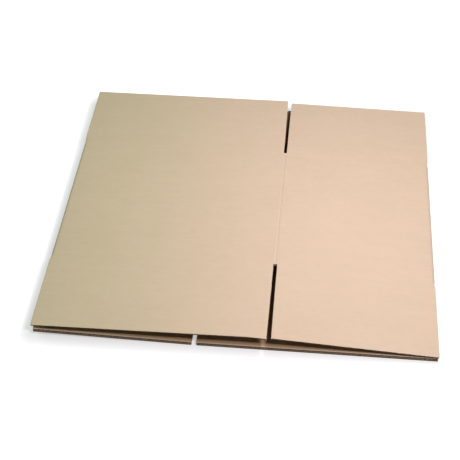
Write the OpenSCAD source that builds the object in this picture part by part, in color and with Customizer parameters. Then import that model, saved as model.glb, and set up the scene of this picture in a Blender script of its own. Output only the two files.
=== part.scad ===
// Slotted shipping carton of corrugated board, knocked down flat and sprung slightly open.
// One sheet forms a tube of two long and two short panels. It is folded over at two corner scores,
// so a short and a long panel lie side by side in each layer. The lower long panel lies on the floor.
// X runs across the panels, Y along the flutes and the tube, Z up.

/* [Made-up box] */
// Inside length
box_length = 450; // [250:1:700]
// Inside width
box_width = 310; // [150:1:450]
// Inside depth
box_depth = 310; // [150:1:500]

/* [Board] */
// Thickness of the double-wall board
board = 7; // [5:0.1:9]
// Thickness of its papers
paper = 0.6; // [0.4:0.05:0.8]
// Height of the fine flutes, next to the outer paper
fine_height = 2.2; // [1.5:0.1:2.5]
// Pitch of the fine flutes
fine_pitch = 7; // [6:0.1:8]
// Pitch of the coarse flutes, next to the inner paper
coarse_pitch = 9; // [7:0.1:10]

/* [Slots and scores] */
// Width of the slots between the flaps
slot_w = 10; // [7:0.5:13]
// How far a slot is cut past the flap scores
slot_past = 10; // [4:0.5:16]
// Width of the crease pressed in along a score
score_w = 4; // [2:0.5:6]
// Depth of the crease at a corner of the box, where no flutes run
score_depth = 0.8; // [0.3:0.1:1.5]
// Depth of the crease at the root of a flap, less than the paper's thickness
flap_score_depth = 0.35; // [0.1:0.05:0.35]

/* [Folds] */
// Inside radius of the two pressed folds
fold_r = 1; // [0.8:0.1:3]
// How far each face of the board is pressed in at a fold
fold_press = 0.3; // [0.1:0.05:0.6]
// Angle by which the folds have sprung open
open_angle = 5.5; // [3:0.5:9]

/* [Glue tab] */
// Width of the tab
tab_w = 38; // [25:1:60]
// Height of the pressed tab above the panel it is glued to
tab_thick = 5; // [2:0.5:6]
// Distance of the tab from the slots
tab_inset = 6; // [2:1:20]
// How much each end of the tab is trimmed back over its width
tab_trim = 9; // [0:1:20]

/* [Hidden] */
$fn = 64;

// Panels from score to score
long_panel = box_length + board;
short_panel = box_width + board;
body_d = box_depth + 2 * board;
// The outer flaps meet when the box is closed
flap_d = short_panel / 2;
sheet_d = body_d + 2 * flap_d;
// Stretch of the tube that no slot reaches
tube_d = body_d - 2 * slot_past;
// Stretch at each end along which the flaps are cut free
free_d = flap_d + slot_past;

// The outer paper can't stretch, so each pressed fold takes this much of it, half from each of its panels
fold_turn = 180 - open_angle;
fold_len = (fold_r + board) * fold_turn * PI / 180;
long_flat = long_panel - fold_len / 2;
short_flat = short_panel - fold_len / 2;
// Length of a flap past the line where its panel starts to fold
flap_past = fold_len / 2 - slot_w / 2;
// Angle by which a fold runs on inside its panels
fold_lap = 8;
// Height of the coarse flutes: three papers and the fine flutes take the rest of the board
coarse_height = board - 3 * paper - fine_height;
// Room that a cut takes beyond the faces of the board
past = 1;

// Section in X and Z of the lower long panel, the fold and the upper short panel.
// A point lies some way along its panel, at a depth below the board's outer face.
fold_centre = [long_flat, board + fold_r];
short_way = [-cos(open_angle), sin(open_angle)];
short_up = [sin(open_angle), cos(open_angle)];
function on_long(along, depth) = [along, depth];
function on_short(along, depth) = fold_centre + along * short_way + (fold_r + board - depth) * short_up;
// At a plain score the panels end on the line that halves their angle
function on_score(depth) = on_short(short_flat + (board / 2 - depth) * tan(open_angle / 2), depth);

// The section is the same turned half round about its middle, which lies between the two plain scores
middle = (on_long(0, board / 2) + on_score(board / 2)) / 2;
function half_turn(points) = [for (p = points) 2 * middle - p];

// Hollows of one row of flutes along a flat run of board, as triangles of along and depth.
// A wavy paper leans between the two flat papers, and hollows point in turn to one and the other.
function flute_row(run, pitch, top, height) =
    let (
        count = floor(run / pitch - 1 / 2),
        start = (run - (count + 1 / 2) * pitch) / 2,
        lean = atan2(height, pitch / 2),
        half = pitch / 2 - paper / 2 / sin(lean),
        tall = half * tan(lean)
    )
    [
        for (i = [0:count - 1], side = [0, 1])
            let (mid = start + (i + 1 / 2 + side / 2) * pitch, base = top + side * height)
            [[mid - half, base], [mid + half, base], [mid, base + (1 - 2 * side) * tall]]
    ];

// Both rows of flutes of a panel
function panel_flutes(run) = concat(
    flute_row(run, fine_pitch, paper, fine_height),
    flute_row(run, coarse_pitch, 2 * paper + fine_height, coarse_height)
);

module flutes_section() {
    for (hollow = panel_flutes(long_flat - slot_w / 2))
        polygon([for (q = hollow) on_long(slot_w / 2 + q[0], q[1])]);
    for (hollow = panel_flutes(short_flat - slot_w / 2))
        polygon(half_turn([for (q = hollow) on_short(q[0], q[1])]));
}

// Lower layer: a short and a long panel with their flaps, and a crease in the outer face at the score
module layer_section() {
    short_end = -flap_past;
    long_end = long_flat + flap_past;
    difference() {
        polygon(concat(
            half_turn([
                on_short(short_end, 0), on_short(short_flat - score_w / 2, 0), on_score(score_depth)
            ]),
            [on_long(score_w / 2, 0), on_long(long_end, 0), on_long(long_end, board)],
            half_turn([on_score(board), on_short(short_end, board)])
        ));
        flutes_section();
    }
}

// Slot between the flaps of the lower layer
module slot_section() {
    edge = short_flat - slot_w / 2;
    polygon(concat(
        half_turn([on_short(edge, board + past), on_short(edge, -past)]),
        [on_long(slot_w / 2, -past), on_long(slot_w / 2, board + past)]
    ));
}

// Ends of the lower layer past the lines where it starts to fold
module ends_section() {
    reach = flap_past + past;
    polygon([
        on_long(long_flat, -past), on_long(long_flat + reach, -past),
        on_long(long_flat + reach, board + past), on_long(long_flat, board + past)
    ]);
    polygon(half_turn([
        on_short(0, -past), on_short(-reach, -past),
        on_short(-reach, board + past), on_short(0, board + past)
    ]));
}

// Section drawn in X and Z, carried along Y from a start
module along_y(start, length) {
    translate([0, start + length, 0])
        rotate([90, 0, 0])
            linear_extrude(length)
                children();
}

// Frame on the inner face of the lower long panel, with X from the score to the fold and Z into the box
module on_long_face() {
    translate([0, 0, board])
        children();
}

// Frame on the inner face of the upper short panel, with X from the fold to the score and Z into the box
module on_short_face() {
    translate([fold_centre[0], 0, fold_centre[1]])
        rotate([0, open_angle - 180, 0])
            translate([0, 0, -fold_r])
                children();
}

module on_other_half() {
    translate([2 * middle[0], 0, 2 * middle[1]])
        rotate([0, 180, 0])
            children();
}

// Board bent round from the lower long panel to the upper short panel
module fold() {
    translate([fold_centre[0], 0, fold_centre[1]])
        rotate([90, 0, 0])
            rotate([0, 0, -90 - fold_lap])
                rotate_extrude(angle = fold_turn + 2 * fold_lap)
                    translate([fold_r + fold_press, -tube_d / 2])
                        square([board - 2 * fold_press, tube_d]);
}

// Creases of the two flap scores across the inner face of a panel
module flap_scores(start, length) {
    low = flap_score_depth;
    for (side = [-1, 1])
        translate([start, side * body_d / 2, 0])
            rotate([90, 0, 90])
                linear_extrude(length)
                    polygon([[-score_w, low], [0, -low], [score_w, low]]);
}

// A layer, its flaps and the fold that leads on to the next layer
module half_box() {
    difference() {
        along_y(-sheet_d / 2, sheet_d)
            layer_section();
        for (start = [-sheet_d / 2 - past, tube_d / 2])
            along_y(start, free_d + past)
                slot_section();
        along_y(-tube_d / 2, tube_d)
            ends_section();
        on_long_face()
            flap_scores(0, long_panel);
        on_other_half()
            on_short_face()
                flap_scores(short_flat - short_panel, short_panel);
    }
    fold();
}

// Tab of the lower long panel, glued to the short panel beside it and sunk a little into its face
module glue_tab() {
    end = tube_d / 2 - tab_inset;
    root = short_flat + board / 2;
    tip = short_flat - tab_w;
    translate([0, 0, tab_thick - board])
        linear_extrude(board)
            polygon([[root, -end], [root, end], [tip, end - tab_trim], [tip, -end + tab_trim]]);
}

module folded_box() {
    color("#c8a988")
        translate([-middle[0], 0, 0]) {
            half_box();
            on_other_half() {
                half_box();
                on_short_face()
                    glue_tab();
            }
        }
}

folded_box();
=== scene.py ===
# Flattened shipping carton of kraft corrugated board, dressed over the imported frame.
import math

import bpy
import bmesh
import numpy as np
from mathutils import Matrix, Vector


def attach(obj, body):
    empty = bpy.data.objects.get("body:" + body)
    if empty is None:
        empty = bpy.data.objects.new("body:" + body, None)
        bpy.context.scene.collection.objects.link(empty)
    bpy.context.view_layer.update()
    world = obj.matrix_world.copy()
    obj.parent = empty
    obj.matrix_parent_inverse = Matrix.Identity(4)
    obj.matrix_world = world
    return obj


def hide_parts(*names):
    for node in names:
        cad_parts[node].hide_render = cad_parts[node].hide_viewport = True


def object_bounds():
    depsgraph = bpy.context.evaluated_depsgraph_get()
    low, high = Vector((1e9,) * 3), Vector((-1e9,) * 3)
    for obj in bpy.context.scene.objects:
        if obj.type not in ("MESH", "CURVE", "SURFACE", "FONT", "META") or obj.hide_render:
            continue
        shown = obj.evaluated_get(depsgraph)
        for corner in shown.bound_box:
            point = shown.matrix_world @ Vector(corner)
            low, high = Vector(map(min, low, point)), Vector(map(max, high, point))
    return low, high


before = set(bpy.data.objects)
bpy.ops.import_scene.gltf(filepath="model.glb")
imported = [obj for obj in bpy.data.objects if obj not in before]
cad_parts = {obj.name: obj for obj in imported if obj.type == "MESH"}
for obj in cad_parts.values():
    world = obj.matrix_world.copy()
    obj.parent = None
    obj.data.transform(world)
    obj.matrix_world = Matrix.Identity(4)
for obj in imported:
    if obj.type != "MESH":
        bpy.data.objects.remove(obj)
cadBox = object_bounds()
print("frame loaded:", ", ".join(sorted(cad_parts)))


# Small helpers for shapes

slack = 1e-9    # metres, for comparing stations


def smooth(t):
    # eases from 0 to 1 as t goes from 0 to 1
    t = np.clip(t, 0.0, 1.0)
    return t * t * (3.0 - 2.0 * t)


def ridge(distance, width):
    # bell curve, 1 in the middle and about 0.4 at one width
    return np.exp(-(distance / width) ** 2)


def spread(stops, step, rounding=1e-6):
    # even stations between each pair of stops, no further apart than step
    runs = []
    for a, b in zip(stops, stops[1:]):
        count = max(1, math.ceil((b - a) / step - rounding))
        runs.append(np.linspace(a, b, count + 1)[:-1])
    return np.append(np.concatenate(runs), stops[-1])


def gridFaces(index):
    # quads of a grid of vertex numbers: each faces the way of its column step cross its row step
    corners = [index[:-1, :-1], index[:-1, 1:], index[1:, 1:], index[1:, :-1]]
    return np.stack(corners, axis=-1).reshape(-1, 4)


class MeshParts:
    # gathers grids of points, then makes one object of them
    def __init__(self):
        self.points, self.faces, self.finish, self.materials, self.count = [], [], [], [], 0

    def grid(self, points, material, flip=False, keep=None):
        # points has the shape rows, columns, 3, and keep says which of its quads are used
        index = np.arange(points.shape[0] * points.shape[1]).reshape(points.shape[:2]) + self.count
        faces = gridFaces(index)
        if keep is not None:
            faces = faces[keep.ravel()]
        if flip:
            faces = faces[:, ::-1]
        if material not in self.materials:
            self.materials.append(material)
        self.points.append(points.reshape(-1, 3))
        self.faces.append(faces)
        self.finish.append(np.full(len(faces), self.materials.index(material)))
        self.count += index.size

    def make(self, name, sharp=35.0, merge=2e-6, flat=1e-7):
        # edges over sharp degrees stay crisp, points closer than merge are joined, faces under flat go
        mesh = bpy.data.meshes.new(name)
        points = np.concatenate(self.points)
        faces = np.concatenate(self.faces)
        mesh.from_pydata(points.tolist(), [], faces.tolist())
        for material in self.materials:
            mesh.materials.append(material)
        mesh.polygons.foreach_set("material_index", np.concatenate(self.finish).astype(np.int32))
        work = bmesh.new()
        work.from_mesh(mesh)
        bmesh.ops.remove_doubles(work, verts=work.verts, dist=merge)
        bmesh.ops.dissolve_degenerate(work, edges=work.edges, dist=flat)
        loose = [v for v in work.verts if not v.link_faces]
        bmesh.ops.delete(work, geom=loose, context="VERTS")
        work.to_mesh(mesh)
        work.free()
        mesh.shade_smooth()
        mesh.set_sharp_from_angle(angle=math.radians(sharp))
        mesh.update()
        piece = bpy.data.objects.new(name, mesh)
        bpy.context.scene.collection.objects.link(piece)
        print("made", name, len(mesh.polygons), "faces")
        return piece


# Small wrapper for shader sockets

class Wire:
    def __init__(self, tree, socket=None):
        self.tree, self.socket = tree, socket

    def node(self, kind, settings=None, inputs=None, out=0):
        made = self.tree.nodes.new(kind)
        for key, value in (settings or {}).items():
            if key == "stops":
                for stop, (place, colour) in zip(made.color_ramp.elements, value):
                    stop.position = place
                    stop.color = colour
            else:
                setattr(made, key, value)
        for key, value in (inputs or {}).items():
            if isinstance(value, Wire):
                self.tree.links.new(value.socket, made.inputs[key])
            else:
                made.inputs[key].default_value = value
        return Wire(self.tree, made.outputs[out] if made.outputs else None)

    def maths(self, operation, *values):
        return self.node("ShaderNodeMath", {"operation": operation}, dict(enumerate(values)))

    def __add__(self, other):
        return self.maths("ADD", self, other)

    __radd__ = __add__

    def __sub__(self, other):
        return self.maths("SUBTRACT", self, other)

    def __rsub__(self, other):
        return self.maths("SUBTRACT", other, self)

    def __mul__(self, other):
        return self.maths("MULTIPLY", self, other)

    __rmul__ = __mul__


def newMaterial(name):
    material = bpy.data.materials.new(name)
    material.use_nodes = True
    material.node_tree.nodes.clear()
    return material, Wire(material.node_tree)


def noise(wire, place, stretch, detail, roughness=0.55):
    # noise about 0.5, with about as many grains to a metre along X, Y and Z as stretch says
    moved = wire.node("ShaderNodeMapping", {"vector_type": "POINT"}, {"Vector": place, "Scale": stretch})
    return wire.node("ShaderNodeTexNoise", {"noise_dimensions": "3D"},
                     {"Vector": moved, "Scale": 1.0, "Detail": detail, "Roughness": roughness})


def ramp(wire, value, start, end):
    # straight from 0 at start to 1 at end
    stops = [(start, (0.0, 0.0, 0.0, 1.0)), (end, (1.0, 1.0, 1.0, 1.0))]
    return wire.node("ShaderNodeValToRGB", {"stops": stops}, {"Fac": value})


def ease(wire, value, start, end, low=0.0, high=1.0):
    # smoothly from low at start to high at end
    return wire.node("ShaderNodeMapRange", {"interpolation_type": "SMOOTHSTEP"}, {
        "Value": value, "From Min": start, "From Max": end, "To Min": low, "To Max": high})


def mixColour(wire, factor, a, b, blend="MIX"):
    # on a Mix node of colours, sockets 6 and 7 take the two colours and output 2 gives the result
    return wire.node("ShaderNodeMix", {"data_type": "RGBA", "blend_type": blend},
                     {0: factor, 6: a, 7: b}, out=2)


# Finishes of the board

kraftFinish = {
    "tone": (0.590, 0.442, 0.316, 1.0),
    "pale": (0.790, 0.608, 0.452, 1.0),
    "contrast": 0.75,                          # between tone and pale
    # stretch along X, Y and Z, detail, and share in the blend of tone and pale
    "streak": ((26.0, 230.0, 230.0), 3.0, 0.27),
    "band": ((5.0, 60.0, 60.0), 3.0, 0.20),
    "mottle": ((75.0, 110.0, 110.0), 2.0, 0.28),
    "cloud": ((9.0, 12.6, 9.0), 4.0, 0.25),
    "paintedLeftShade": (0.938, 1.030, 0.925, 1.0),    # painted shade: the sheet's left end is made a little darker and greener, as the greenish fill light falls there
    "tintFrom": 0.10, "tintTo": -0.36,         # X over which the painted shade comes in
    # stretch, detail and roughness of the dark flecks and pale fibres, and the span of noise that shows
    "fleck": ((420.0, 900.0, 900.0), 1.0, 0.55), "fleckSpan": (0.66, 0.80),
    "fleckDark": (0.480, 0.345, 0.235, 1.0), "fleckShare": 0.25,
    "fibre": ((260.0, 1500.0, 1500.0), 2.0, 0.6), "fibreSpan": (0.62, 0.85),
    "fibrePale": (0.840, 0.690, 0.545, 1.0), "fibreShare": 0.16,
    "innerPaintedShade": (0.60, 0.51, 0.40, 1.0),     # painted shade: the paper inside is darkened for the shade inside the flattened tube
    "lipStart": 0.3150, "lipEnd": 0.3180,      # painted highlight on the lip inside a cut edge, where it catches the light, metres from the middle
    "lipHighlightShare": 0.8,
    "roughness": 0.82, "roughSpread": 0.12, "specular": 0.25,
    "fibreHeight": 0.00006, "streakHeight": 0.00006,
    "fluteHeight": 0.00003,                    # how far the flutes show through the paper
    "flutePitch": 0.0079,
    "bump": 0.5,
}


def makeKraft(name, inner):
    # brown kraft paper: streaks along X, soft clouds, short fibres and a hint of the flutes underneath
    material, wire = newMaterial(name)
    place = wire.node("ShaderNodeTexCoord", out="Object")
    across = wire.node("ShaderNodeSeparateXYZ", inputs={"Vector": place}, out="X")
    blend = -0.5
    layers = {}
    for layer in ("streak", "band", "mottle", "cloud"):
        stretch, detail, share = kraftFinish[layer]
        layers[layer] = noise(wire, place, stretch, detail)
        blend = blend + layers[layer] * share
    plain = mixColour(wire, 0.5 + blend * kraftFinish["contrast"], kraftFinish["tone"], kraftFinish["pale"])
    # painted shade: darker, greener colour towards the left end, standing in for the fill light's tint
    leftward = ease(wire, across, kraftFinish["tintFrom"], kraftFinish["tintTo"])
    withPaintedLeftShade = mixColour(wire, leftward, plain, kraftFinish["paintedLeftShade"], "MULTIPLY")
    fleck = ramp(wire, noise(wire, place, *kraftFinish["fleck"]), *kraftFinish["fleckSpan"])
    flecked = mixColour(wire, fleck * kraftFinish["fleckShare"], withPaintedLeftShade, kraftFinish["fleckDark"])
    fibre = noise(wire, place, *kraftFinish["fibre"])
    light = ramp(wire, fibre, *kraftFinish["fibreSpan"])
    colour = mixColour(wire, light * kraftFinish["fibreShare"], flecked, kraftFinish["fibrePale"])
    if inner:
        # painted shade: the inner face is darkened, as the inside of the tube lies in shade
        colour = mixColour(wire, 1.0, colour, kraftFinish["innerPaintedShade"], "MULTIPLY")
        # painted highlight: the lip of a cut edge is made paler, as where it catches the light
        along = wire.node("ShaderNodeSeparateXYZ", inputs={"Vector": place}, out="Y")
        lip = ease(wire, wire.maths("ABSOLUTE", along), kraftFinish["lipStart"], kraftFinish["lipEnd"])
        colour = mixColour(wire, lip * kraftFinish["lipHighlightShare"], colour, kraftFinish["pale"])
    flute = wire.maths("SINE", across * (2.0 * math.pi / kraftFinish["flutePitch"]))
    height = fibre * kraftFinish["fibreHeight"] + layers["streak"] * kraftFinish["streakHeight"]
    height = height + flute * kraftFinish["fluteHeight"]
    bump = wire.node("ShaderNodeBump", inputs={
        "Strength": kraftFinish["bump"], "Distance": 1.0, "Height": height})
    rough = kraftFinish["roughness"] + (fibre - 0.5) * kraftFinish["roughSpread"]
    shader = wire.node("ShaderNodeBsdfPrincipled", inputs={
        "Base Color": colour, "Roughness": rough, "Specular IOR Level": kraftFinish["specular"],
        "Normal": bump})
    wire.node("ShaderNodeOutputMaterial", inputs={"Surface": shader})
    return material


cutFinish = {
    "shade": (0.450, 0.328, 0.218, 1.0), "tone": (0.700, 0.540, 0.385, 1.0),                # cut papers
    "hollowPaintedShade": (0.085, 0.058, 0.036, 1.0), "hollowPaintedTone": (0.165, 0.113, 0.073, 1.0),    # painted shade: near-black paper in the flutes, for the shade deep in the hollows
    # stretch along X, Y and Z, detail, and share in the blend of shade and tone
    "grain": ((900.0, 900.0, 900.0), 2.0, 0.6),
    "cloud": ((40.0, 40.0, 40.0), 2.0, 0.4),
    "grainHeight": 0.0001,
    "roughness": 0.92, "specular": 0.2, "bump": 0.5,
}


def makeCutBoard(name, shade, tone):
    # raw paper with a fine grain, rougher than the faces
    material, wire = newMaterial(name)
    place = wire.node("ShaderNodeTexCoord", out="Object")
    grain = noise(wire, place, *cutFinish["grain"][:2])
    cloud = noise(wire, place, *cutFinish["cloud"][:2])
    blend = grain * cutFinish["grain"][2] + cloud * cutFinish["cloud"][2]
    colour = mixColour(wire, blend, cutFinish[shade], cutFinish[tone])
    bump = wire.node("ShaderNodeBump", inputs={
        "Strength": cutFinish["bump"], "Distance": 1.0, "Height": grain * cutFinish["grainHeight"]})
    shader = wire.node("ShaderNodeBsdfPrincipled", inputs={
        "Base Color": colour, "Roughness": cutFinish["roughness"],
        "Specular IOR Level": cutFinish["specular"], "Normal": bump})
    wire.node("ShaderNodeOutputMaterial", inputs={"Surface": shader})
    return material


kraftPaper = makeKraft("kraftPaper", False)
shadedInnerPaper = makeKraft("shadedInnerPaper", True)
cutBoard = makeCutBoard("cutBoard", "shade", "tone")
# painted shade: the paper in the flute hollows is made near black, standing in for the shade in them
shadedFluteHollow = makeCutBoard("shadedFluteHollow", "hollowPaintedShade", "hollowPaintedTone")
print("finishes made")


# The folded sheet

carton = {
    "longPanel": 0.457,        # score to score
    "shortPanel": 0.317,
    "bodyDepth": 0.324,        # flap score to flap score
    "board": 0.007,
    "slotWidth": 0.010,
    "slotPast": 0.010,         # slots run this far past the flap scores
    "foldRadius": 0.001,
    "openNear": 5.5,           # degrees that the folds have sprung open, at the near and far ends
    "openFar": 3.6,
    "leftTwist": 0.009,        # the left fold's far end stands this much higher and its near end lower
    "cornerBend": 0.003,       # droop of a flap's corner beside the near slot
    "cornerReach": 0.022,
    "flapHang": 0.006,         # droop of the upper short panel's far flap, at the slot
    "lowerHang": 0.010,        # droop of the lower short panel's near flap, at the left fold
    "foldEase": 0.022,         # stretch of a flap that still leans round with its fold
    "creaseDepth": 0.0011,     # outer crease of a plain score
    "creaseWidth": 0.0016,
    "creaseEnd": 0.004,        # stretch over which it runs out at a slot
    "flapCreaseIn": 0.0006,    # crease of a flap score in the inner and outer face
    "flapWidthIn": 0.002,
    "flapCreaseOut": 0.00015,
    "flapWidthOut": 0.003,
    "slotCrush": 0.0004,       # board pressed down along a slot
    "crushWidth": 0.0016,
    "cutBevel": 0.0020,        # the outer paper reaches this much past the inner one at a cut edge
    "bevelReach": 0.010,
    "pinchNear": 0.0013,       # how much each side of a slot closes in at its blind end, near and far
    "pinchFar": 0.0018,
    "pinchEase": 0.012,        # stretch before the blind end over which this starts
    "pinchReach": 0.030,       # stretch beside a slot that moves with its side
}
longPanel, shortPanel, board = carton["longPanel"], carton["shortPanel"], carton["board"]
halfRound = longPanel + shortPanel
flapScore = carton["bodyDepth"] / 2.0
flapDepth = shortPanel / 2.0
sheetEdge = flapScore + flapDepth
tubeEdge = flapScore - carton["slotPast"]
halfSlot = carton["slotWidth"] / 2.0
scores = np.array([0.0, longPanel, halfRound, halfRound + longPanel])


def wayTo(u, score, period):
    # way along the sheet from a score to u, with the score repeated after each period
    return np.mod(u - score + period / 2.0, period) - period / 2.0


def scoreGap(u):
    # distance along the sheet to the nearest of the four corner scores
    return np.abs(wayTo(u[..., None], scores, 2.0 * halfRound)).min(axis=-1)


def slotPinch(u, y):
    # moves the sides of a slot towards its plain score: full at the blind end, half at the mouth,
    # m = pinch * (1 - t^2 / 2) with t the way from end to mouth, fading out over a short stretch of the flap
    way = wayTo(u, 0.0, halfRound)
    past = np.abs(y) - tubeEdge
    t = np.clip(past / (sheetEdge - tubeEdge), 0.0, 1.0)
    pinch = np.where(y < 0.0, carton["pinchNear"], carton["pinchFar"]) * (1.0 - t * t / 2.0)
    held = smooth(past / carton["pinchEase"] + 1.0)
    fade = 1.0 - smooth((np.abs(way) - halfSlot) / carton["pinchReach"])
    inside = np.minimum(np.abs(way) / halfSlot, 1.0)
    return -np.sign(way) * pinch * held * fade * inside


def pressed(u, y, gap, share):
    # how much deeper creases press a point: ridges along the plain scores, slots and flap scores,
    # from the outer face where share is 0 and from the inner face where it is 1
    inTube = smooth(1.0 - (np.abs(y) - tubeEdge) / carton["creaseEnd"])
    line = np.abs(y) - flapScore
    fromOut = carton["creaseDepth"] * ridge(wayTo(u, 0.0, halfRound), carton["creaseWidth"]) * inTube
    fromOut = fromOut + carton["slotCrush"] * ridge(gap - halfSlot, carton["crushWidth"]) * (1.0 - inTube)
    fromOut = fromOut + carton["flapCreaseOut"] * ridge(line, carton["flapWidthOut"])
    fromIn = carton["flapCreaseIn"] * ridge(line, carton["flapWidthIn"])
    return fromOut * (1.0 - share) - fromIn * share


def halfSection(s, y, depth):
    # x and z of the lower long panel, the right fold and the upper short panel, s along them from the lower
    # plain score. The fold is an arc of its outer paper's length, and flaps run on straight past it.
    # topX and topZ are the upper plain score, in the middle of the board.
    radius = carton["foldRadius"]
    farness = (y + sheetEdge) / (2.0 * sheetEdge)
    opened = np.radians(carton["openNear"] + (carton["openFar"] - carton["openNear"]) * farness)
    foldLength = (radius + board) * (math.pi - opened)
    longFlat = longPanel - foldLength / 2.0
    shortFlat = shortPanel - foldLength / 2.0
    middleX, middleZ = longFlat, board + radius
    out = radius + board - depth
    # at a plain score the panels end on the line that halves their angle
    mitre = (board / 2.0 - depth) * np.tan(opened / 2.0)
    longX, longZ = s - mitre * np.clip(1.0 - s / halfSlot, 0.0, 1.0), depth
    reach = s - longFlat - foldLength + mitre * np.clip(1.0 - (halfRound - s) / halfSlot, 0.0, 1.0)
    shortX = middleX + out * np.sin(opened) - reach * np.cos(opened)
    shortZ = middleZ + out * np.cos(opened) + reach * np.sin(opened)
    angle = (s - longFlat) / (radius + board) - math.pi / 2.0
    loose = smooth((np.abs(y) - tubeEdge) / carton["foldEase"])
    firstSide = s < longPanel
    foldX = (middleX + out * np.cos(angle)) * (1.0 - loose) + np.where(firstSide, longX, shortX) * loose
    foldZ = (middleZ + out * np.sin(angle)) * (1.0 - loose) + np.where(firstSide, longZ, shortZ) * loose
    x = np.where(s <= longFlat, longX, np.where(reach >= 0.0, shortX, foldX))
    z = np.where(s <= longFlat, longZ, np.where(reach >= 0.0, shortZ, foldZ))
    topX = middleX + (radius + board / 2.0) * np.sin(opened) - shortFlat * np.cos(opened)
    topZ = middleZ + (radius + board / 2.0) * np.cos(opened) + shortFlat * np.sin(opened)
    return x, z, topX, topZ


def smallBends(s, y, turned):
    # lift of a point: the left fold is twisted, a corner hangs by the near slot, and two short flaps hang
    leftward = np.where(turned, np.minimum(s / longPanel, (halfRound - s) / shortPanel), 0.0)
    twist = carton["leftTwist"] * y / sheetEdge * leftward
    nearSlot = ridge(s - halfSlot, carton["cornerReach"]) * ridge(y + sheetEdge, carton["cornerReach"])
    corner = carton["cornerBend"] * turned * nearSlot
    farOut = np.clip((y - flapScore) / flapDepth, 0.0, 1.0)
    upperShort = np.where(turned, 0.0, np.clip((s - longPanel) / shortPanel, 0.0, 1.0))
    nearOut = np.clip((-y - flapScore) / flapDepth, 0.0, 1.0)
    lowerShort = np.where(turned & (s > longPanel), (halfRound - s) / shortPanel, 0.0)
    hang = carton["flapHang"] * farOut * upperShort + carton["lowerHang"] * smooth(nearOut) * lowerShort
    return twist - corner - hang


def boardPoint(u, y, depth):
    # a point of the folded board. u runs round the tube from the lower plain score, over the lower long
    # panel, the right fold, the upper short panel, the upper plain score, the upper long panel, the left
    # fold and the lower short panel. depth goes from the outer face into the board. The second half of
    # the way round is the first turned half round.
    u, y, depth = np.broadcast_arrays(*(np.asarray(v, float) for v in (u, y, depth)))
    gap = scoreGap(u)
    u = u + slotPinch(u, y)
    share = np.clip(depth / board, 0.0, 1.0)
    depth = depth + pressed(u, y, gap, share)
    along = np.mod(u, 2.0 * halfRound)
    turned = along >= halfRound
    s = np.where(turned, along - halfRound, along)
    x, z, topX, topZ = halfSection(s, y, depth)
    x = np.where(turned, topX - x, x) - topX / 2.0
    z = np.where(turned, topZ + board / 2.0 - z, z) + smallBends(s, y, turned)
    bevel = carton["cutBevel"] * share * smooth(1.0 - (sheetEdge - np.abs(y)) / carton["bevelReach"])
    return np.stack([x, y - np.sign(y) * bevel, z], axis=-1)


sheetGrid = {
    "columnStep": 0.013, "rowStep": 0.013,
    "scoreColumns": (0.0, 0.0008, 0.0016, 0.0026, 0.0036),    # from a plain score towards a slot's side
    "slotColumns": (0.0, 0.0012, 0.003),                      # from a slot's side on to the flap
    "scoreZone": 0.012,                                       # where the even columns of a panel start
    "arcSteps": 8, "foldSteps": 5,                            # in a slot's width round a fold, and beside it
    "foldZone": 0.013, "foldSettle": 0.026,                   # end of a fold's columns, and one more station
    "slotRows": (-0.004, 0.0, 0.002, 0.004),                  # from a slot's blind end
    "flapRows": (-0.0025, 0.0, 0.0025, 0.006),                # from a flap score
    "edgeRows": (0.003, 0.0),                                 # from a cut edge
}


def sheetColumns():
    # stations round the tube: close together at the scores and folds
    foldZone, settle = sheetGrid["foldZone"], sheetGrid["foldSettle"]
    zone, step = sheetGrid["scoreZone"], sheetGrid["columnStep"]
    score = np.append(sheetGrid["scoreColumns"], halfSlot + np.array(sheetGrid["slotColumns"]))
    inside = np.linspace(-halfSlot, halfSlot, sheetGrid["arcSteps"] + 1)
    beside = np.linspace(halfSlot, foldZone, sheetGrid["foldSteps"] + 1)[1:]
    fold = np.concatenate([-beside[::-1], inside, beside])
    longRun = spread([zone, longPanel - settle, longPanel - foldZone], step)
    shortRun = spread([longPanel + foldZone, longPanel + settle, halfRound - zone], step)
    first = np.concatenate([score, longRun[:-1], longPanel + fold, shortRun[1:], halfRound - score[:0:-1]])
    return np.concatenate([first, first + halfRound])


def sheetRows():
    # stations along the flutes: close together at the cut edges, flap scores and slot ends
    stops = np.concatenate([
        [0.0, tubeEdge + carton["foldEase"]], tubeEdge + np.array(sheetGrid["slotRows"]),
        flapScore + np.array(sheetGrid["flapRows"]), sheetEdge - np.array(sheetGrid["edgeRows"])])
    upper = spread(np.unique(stops.round(6)), sheetGrid["rowStep"])
    return np.concatenate([-upper[:0:-1], upper])


cutEdge = {
    "paper": 0.00045,          # thickness of the flat papers
    "wavy": 0.00038,           # thickness of the wavy papers
    "fineHeight": 0.0024,      # room of the fine flutes, next to the outer paper
    "finePitch": 0.0066,
    "coarsePitch": 0.0082,
    "waveSteps": 10,           # points of a wave
    "flatSteps": 60,           # points of the flat paper between the flutes
    "pocket": 0.014,           # how deep the hollow flutes can be looked into
    "setBack": 0.0003,         # how far the flutes stand back from the cut edge
    "rim": 0.0013,             # end of the papers between the flutes and a slot
    "groove": 0.0009,          # depth of the grooves between the papers along a slot
    "grooveSlope": 0.0002,
    "grooveStart": 0.003,      # stretch over which they come in at a slot's blind end
}


def cutProfile():
    # depths across the board, and how far each is set back: three papers with a groove between each two
    paper, slope = cutEdge["paper"], cutEdge["grooveSlope"]
    middle = paper + cutEdge["fineHeight"]
    lips = np.array([0.0, paper, paper + slope, middle - slope, middle,
                     middle + paper, middle + paper + slope, board - paper - slope, board - paper, board])
    hollow = np.array([0, 0, 1, 1, 0, 0, 1, 1, 0, 0]) * cutEdge["groove"]
    return lips, hollow


def flapRuns():
    # start and end of the four flaps, round the tube
    ends = np.append(scores, 2.0 * halfRound)
    return [(a + halfSlot, b - halfSlot) for a, b in zip(ends[:-1], ends[1:])]


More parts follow.
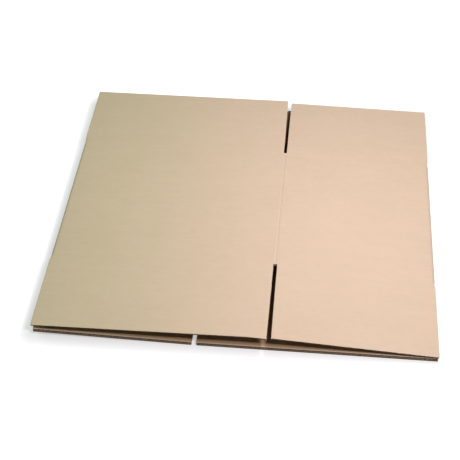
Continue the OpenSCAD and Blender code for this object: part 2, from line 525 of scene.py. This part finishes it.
def slotWalls(parts, around, rows, end):
    # grooved sides and plain blind ends of the four slots at one end of the tube
    lips, hollow = cutProfile()
    rows = rows[end * rows >= tubeEdge - slack]
    fade = smooth((np.abs(rows) - tubeEdge) / cutEdge["grooveStart"])
    for score in scores:
        for side in (-1, 1):
            wall = score + side * (halfSlot + hollow[None, :] * fade[:, None])
            parts.grid(boardPoint(wall, rows[:, None], lips[None, :]), cutBoard, flip=side < 0)
        way = wayTo(around[:-1], score, 2.0 * halfRound)
        inSlot = score + np.sort(way[np.abs(way) <= halfSlot + slack])
        parts.grid(boardPoint(inSlot[None, :], end * tubeEdge, lips[:, None]), cutBoard, flip=end > 0)


def cutEnds(parts, around, end):
    # cut edges of the four flaps at one end of the tube: a rim of paper round a pocket that holds the flutes
    lips, hollow = cutProfile()
    paper, rim = cutEdge["paper"], cutEdge["rim"]
    edge, back = end * sheetEdge, end * (sheetEdge - cutEdge["pocket"])
    for a, b in flapRuns():
        run = around[(around >= a - slack) & (around <= b + slack)]
        inset = np.clip(run, a + rim, b - rim)
        loop = [(run, edge, 0.0), (inset, edge, paper), *[(inset, back, depth) for depth in lips[1:-1]],
                (inset, edge, board - paper), (run, edge, board)]
        strip = np.stack([boardPoint(*place) for place in loop])
        parts.grid(strip[:2], cutBoard, flip=end > 0)
        parts.grid(strip[1:-1], shadedFluteHollow, flip=end > 0)
        parts.grid(strip[-2:], cutBoard, flip=end > 0)
        # the rim and the pocket's wall beside each slot
        for k, inward in ((0, 1), (-1, -1)):
            outer = boardPoint(run[k] + inward * hollow, edge, lips)
            mouth = boardPoint(inset[k], edge, np.clip(lips, paper, board - paper))
            parts.grid(np.stack([outer, mouth]), cutBoard, flip=end * inward < 0)
            parts.grid(np.stack([mouth[1:-1], strip[2:-2, k]]), shadedFluteHollow, flip=end * inward < 0)


def makeSheet():
    # outer and inner face of the board over the same grid, without the slots, and the walls between them
    parts = MeshParts()
    around = np.append(sheetColumns(), 2.0 * halfRound)
    rows = sheetRows()
    gridU, gridY = np.meshgrid(around, rows)
    midU, midY = np.meshgrid((around[:-1] + around[1:]) / 2.0, (rows[:-1] + rows[1:]) / 2.0)
    keep = ~((np.abs(midY) > tubeEdge) & (scoreGap(midU) < halfSlot))
    parts.grid(boardPoint(gridU, gridY, 0.0), kraftPaper, flip=True, keep=keep)
    parts.grid(boardPoint(gridU, gridY, board), shadedInnerPaper, keep=keep)
    for end in (-1, 1):
        slotWalls(parts, around, rows, end)
        cutEnds(parts, around, end)
    return parts.make("foldedSheet")


foldedSheet = makeSheet()


# Flutes that show in the cut edges

def ribbon(parts, along, middle, thick, end):
    # closed strip of paper, whose depth in the board follows along, from the cut edge back into the pocket
    front, back = end * (sheetEdge - cutEdge["setBack"]), end * (sheetEdge - cutEdge["pocket"])
    loop = [(front, -0.5), (back, -0.5), (back, 0.5), (front, 0.5), (front, -0.5)]
    strip = np.stack([boardPoint(along, y, middle + side * thick) for y, side in loop])
    parts.grid(strip[:4], shadedFluteHollow, flip=end < 0)
    parts.grid(strip[3:], cutBoard, flip=end < 0)
    for k, flip in ((0, end > 0), (-1, end < 0)):
        parts.grid(np.stack([strip[[0, 3], k], strip[[1, 2], k]]), shadedFluteHollow, flip=flip)


def makeFlutes():
    # each wavy paper is a sine along the sheet, depth = middle + height * sin(2 pi u / pitch)
    parts = MeshParts()
    paper, fine, wavy = cutEdge["paper"], cutEdge["fineHeight"], cutEdge["wavy"]
    coarse = board - 3 * paper - fine
    layers = ((cutEdge["finePitch"], paper, fine), (cutEdge["coarsePitch"], 2 * paper + fine, coarse))
    for end in (-1, 1):
        for a, b in flapRuns():
            first, last = a + cutEdge["rim"], b - cutEdge["rim"]
            for pitch, top, room in layers:
                waves = round((last - first) / pitch)
                along = np.linspace(first, last, waves * cutEdge["waveSteps"] + 1)
                swing = np.sin(2.0 * math.pi * waves * (along - first) / (last - first))
                ribbon(parts, along, top + room / 2.0 + (room - wavy) / 2.0 * swing, wavy, end)
            along = np.linspace(first, last, cutEdge["flatSteps"])
            ribbon(parts, along, 1.5 * paper + fine, paper, end)
    return parts.make("cutFlutes", sharp=50.0)


cutFlutes = makeFlutes()


# Glue tab inside the lower plain score

glueTab = {
    "width": 0.038, "height": 0.005,
    "root": 0.0035,            # how far its root lies past the score
    "inset": 0.006,            # distance from the slots
    "trim": 0.009,             # how much each end is trimmed back at the tip
    "rise": 0.004,             # stretch over which it leaves the board at its root
    "tipRound": 0.0015, "tipShare": 0.7,    # rounding of its tip, and the height left there
    "sunk": 0.0003,            # how far it is set into the panel that it is glued to
    "steps": 40,
}


def makeGlueTab():
    # a flat strip on the inner face of the lower short panel, shorter at its tip than at its root
    parts = MeshParts()
    root, tip = 2.0 * halfRound + glueTab["root"], 2.0 * halfRound - glueTab["width"]
    across = np.array([root, root - glueTab["rise"], (root + tip) / 2.0, tip + glueTab["tipRound"], tip, tip])
    height = np.array([0.0, 1.0, 1.0, 1.0, glueTab["tipShare"], 0.0]) * glueTab["height"]
    half = tubeEdge - glueTab["inset"] - glueTab["trim"] * (root - across) / (root - tip)
    y = np.linspace(-1.0, 1.0, glueTab["steps"] + 1)[:, None] * half[None, :]
    foot = board - glueTab["sunk"]
    top = boardPoint(across[None, :], y, foot + height[None, :])
    under = boardPoint(across[None, :], y, foot)
    parts.grid(top, shadedInnerPaper, flip=True)
    parts.grid(under, shadedInnerPaper)
    for k in (0, -1):
        parts.grid(np.stack([under[k], top[k]]), cutBoard, flip=k == 0)
    return parts.make("glueTab")


innerTab = makeGlueTab()

for piece in (foldedSheet, cutFlutes, innerTab):
    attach(piece, "root")
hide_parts("folded_box")
print("carton dressed")


# Floor

def whiteRays(wire):
    # 1 for the rays that meet a white studio: from the camera, off gloss and through glass
    camera, gloss, through = (wire.node("ShaderNodeLightPath", out=name)
                              for name in ("Is Camera Ray", "Is Glossy Ray", "Is Transmission Ray"))
    return wire.maths("MAXIMUM", wire.maths("MAXIMUM", camera, gloss), through)


floorFinish = {
    "size": 8.0, "cells": 4,
    "colour": (0.56, 0.56, 0.565, 1.0),
    "shadedNearGlow": 0.50, "farGlow": 1.0,      # how white it reads by itself, beside the carton and far away; lower beside it, a painted shade round the carton
    "reach": 0.075,                        # distance from the carton over which that changes
}


def makeFloor():
    # flat square on the ground: a white sweep that takes the carton's soft shadow, with a painted shade where
    # its glow is lower near the carton
    material, wire = newMaterial("studioFloor")
    place = wire.node("ShaderNodeTexCoord", out="Object")
    corner = (cadBox[1][0], cadBox[1][1], 0.0)
    side = wire.node("ShaderNodeVectorMath", {"operation": "ABSOLUTE"}, {0: place})
    beyond = wire.node("ShaderNodeVectorMath", {"operation": "SUBTRACT"}, {0: side, 1: corner})
    outside = wire.node("ShaderNodeVectorMath", {"operation": "MAXIMUM"}, {0: beyond, 1: (0.0, 0.0, 0.0)})
    away = wire.node("ShaderNodeVectorMath", {"operation": "LENGTH"}, {0: outside}, out="Value")
    # painted shade: the glow is lowest at the carton's outline, darkening the floor round it
    glowWithPaintedShade = ease(wire, away, 0.0, floorFinish["reach"], floorFinish["shadedNearGlow"], floorFinish["farGlow"])
    diffuse = wire.node("ShaderNodeBsdfDiffuse", inputs={"Color": floorFinish["colour"]})
    white = wire.node("ShaderNodeEmission", inputs={"Color": whiteRays(wire) * glowWithPaintedShade, "Strength": 1.0})
    both = wire.node("ShaderNodeAddShader", inputs={0: diffuse, 1: white})
    wire.node("ShaderNodeOutputMaterial", inputs={"Surface": both})
    half = floorFinish["size"] / 2.0
    x, y = np.meshgrid(*[np.linspace(-half, half, floorFinish["cells"] + 1)] * 2)
    parts = MeshParts()
    parts.grid(np.stack([x, y, np.zeros_like(x)], axis=-1), material)
    floor = parts.make("studioFloor")


makeFloor()


# Light

def setInScene(name, data, place, right, up, back):
    # object at its place, turned so that its own X, Y and Z run right, up and back
    holder = bpy.data.objects.new(name, data)
    turn = Matrix(np.stack([right, up, back], axis=1).tolist()).to_4x4()
    turn.translation = place
    holder.matrix_world = turn
    bpy.context.scene.collection.objects.link(holder)
    return holder


world = {"colour": (0.92, 1.0, 1.0, 1.0), "strength": 0.07}
lamps = {
    # place, size across and along the carton, watts and colour of each lamp, all aimed at the carton
    "keyRight": ((0.92, -0.78, 1.80), (0.45, 0.22), 22.6, (1.0, 0.955, 0.985)),
    "overRight": ((0.34, 0.02, 0.85), (0.14, 0.60), 4.3, (1.0, 0.955, 0.985)),
    "fillLeft": ((-1.75, 0.55, 1.65), (1.5, 1.5), 13.2, (0.84, 1.0, 0.90)),
}


def makeWorld():
    # dim sky that lights the carton and reads as white
    studio = bpy.data.worlds.new("studioWorld")
    bpy.context.scene.world = studio
    studio.use_nodes = True
    studio.node_tree.nodes.clear()
    wire = Wire(studio.node_tree)
    sky = wire.node("ShaderNodeBackground", inputs={"Color": world["colour"], "Strength": world["strength"]})
    white = wire.node("ShaderNodeBackground", inputs={"Color": (1.0, 1.0, 1.0, 1.0), "Strength": 1.0})
    both = wire.node("ShaderNodeMixShader", inputs={0: whiteRays(wire), 1: sky, 2: white})
    wire.node("ShaderNodeOutputWorld", inputs={"Surface": both})


def makeLamps():
    for name, (place, size, watts, colour) in lamps.items():
        lamp = bpy.data.lights.new(name, "AREA")
        lamp.shape = "RECTANGLE"
        lamp.size, lamp.size_y = size
        lamp.energy = watts
        lamp.color = colour
        back = np.array(place) / np.linalg.norm(place)
        right = np.cross((0.0, 1.0, 0.0), back)
        right /= np.linalg.norm(right)
        setInScene(name, lamp, place, right, np.cross(back, right), back)
    print("lights set")


makeWorld()
makeLamps()


# Camera

photoCamera = {
    "place": (0.1411, -1.0135, 1.2486),
    "yaw": -0.16100, "pitch": 0.93256, "roll": -0.07429,    # radians
    "focal": 758.1, "picture": 460.0,                       # focal length and picture's width in pixels
    "shift": (-0.02, 0.05),
    "sensor": 36.0,                                         # millimetres
    "clipEnd": 30.0,
}


def makeCamera():
    yaw, pitch, roll = (photoCamera[k] for k in ("yaw", "pitch", "roll"))
    ahead = np.array([math.sin(yaw) * math.cos(pitch), math.cos(yaw) * math.cos(pitch), -math.sin(pitch)])
    level = np.array([math.cos(yaw), -math.sin(yaw), 0.0])
    above = np.cross(level, ahead)
    right = level * math.cos(roll) + above * math.sin(roll)
    up = above * math.cos(roll) - level * math.sin(roll)
    camera = bpy.data.cameras.new("photoCamera")
    camera.sensor_width = photoCamera["sensor"]
    camera.lens = photoCamera["focal"] / photoCamera["picture"] * photoCamera["sensor"]
    camera.shift_x, camera.shift_y = photoCamera["shift"]
    camera.clip_end = photoCamera["clipEnd"]
    bpy.context.scene.camera = setInScene("photoCamera", camera, photoCamera["place"], right, up, -ahead)
    print("camera set")


makeCamera()
bpy.context.scene.view_settings.view_transform = "Standard"
